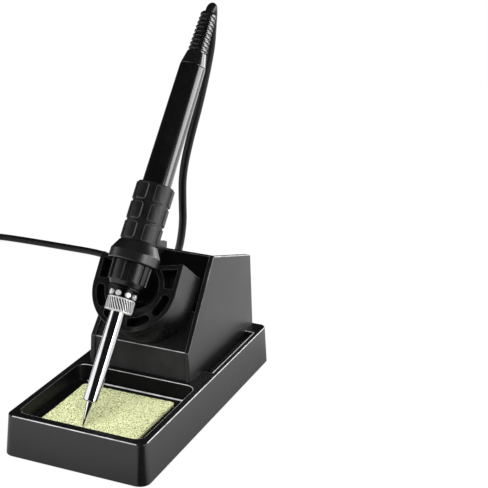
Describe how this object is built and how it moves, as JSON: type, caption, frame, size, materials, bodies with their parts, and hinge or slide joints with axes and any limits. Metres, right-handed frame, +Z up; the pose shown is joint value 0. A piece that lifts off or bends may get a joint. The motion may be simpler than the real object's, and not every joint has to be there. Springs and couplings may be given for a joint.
{
  "type": "soldering iron station",
  "caption": "Soldering iron with a padded grip on a black moulded stand with a sponge well, a funnel holder and an open tool bin",
  "frame": {"origin": "on the table under the middle of the stand's base", "axes": "+Z up, -Y towards the front with the sponge well, +X to the right seen from the front"},
  "size_m": [0.3519, 0.3096, 0.2361],
  "materials": {
    "stand_plastic": "fine grained black moulding, glossier inside the well",
    "foot_rubber": "matte dark rubber",
    "screw_steel": "bright zinc",
    "sponge_foam": "pale yellow-green open grain",
    "bit_metal": "plated bit with a tinned end",
    "sleeve_steel": "polished stainless steel",
    "nut_nickel": "nickel plated, with a knurled outside",
    "heater_ceramic": "white ceramic",
    "collar_plastic": "satin black",
    "grip_rubber": "textured black rubber",
    "handle_plastic": "glossy black",
    "board_laminate": "green laminate",
    "lead_copper": "bare wire",
    "cord_jacket": "satin black jacket",
    "pin_brass": "plated brass"
  },
  "bodies": {
    "stand": {"base_tray": "stand_plastic", "rubber_feet": "foot_rubber", "housing": "stand_plastic", "housing_screws": "screw_steel", "iron_holder": "stand_plastic", "sponge": "sponge_foam", "cord_floor": "cord_jacket", "cord_coil": "cord_jacket", "coil_tie": "cord_jacket", "plug_body": "cord_jacket", "plug_pins": "pin_brass"},
    "iron": {"soldering_tip": "bit_metal", "tip_sleeve": "sleeve_steel", "heater_core": "heater_ceramic", "heater_ferrule": "nut_nickel", "fluted_collar": "collar_plastic", "guard_flange": "collar_plastic", "grip_sleeve": "grip_rubber", "handle_tube": "handle_plastic", "terminal_board": "board_laminate", "heater_leads": "lead_copper", "cord_clamp": "collar_plastic", "cord_boot": "cord_jacket", "cord_entry": "cord_jacket", "cord_hanging": "cord_jacket"},
    "nut": {"knurled_nut": "nut_nickel"}
  },
  "joints": [
    {"name": "iron_lift", "type": "slide", "parent": "stand", "child": "iron", "axis": [0.068, 0.5097, 0.8577], "range_m": [0, 0.12]},
    {"name": "knurled_nut_turn", "type": "hinge", "parent": "iron", "child": "nut", "pos_m": [0.0006, -0.03544, 0.07801], "axis": [0.068, 0.5097, 0.8577], "continuous": true}
  ]
}
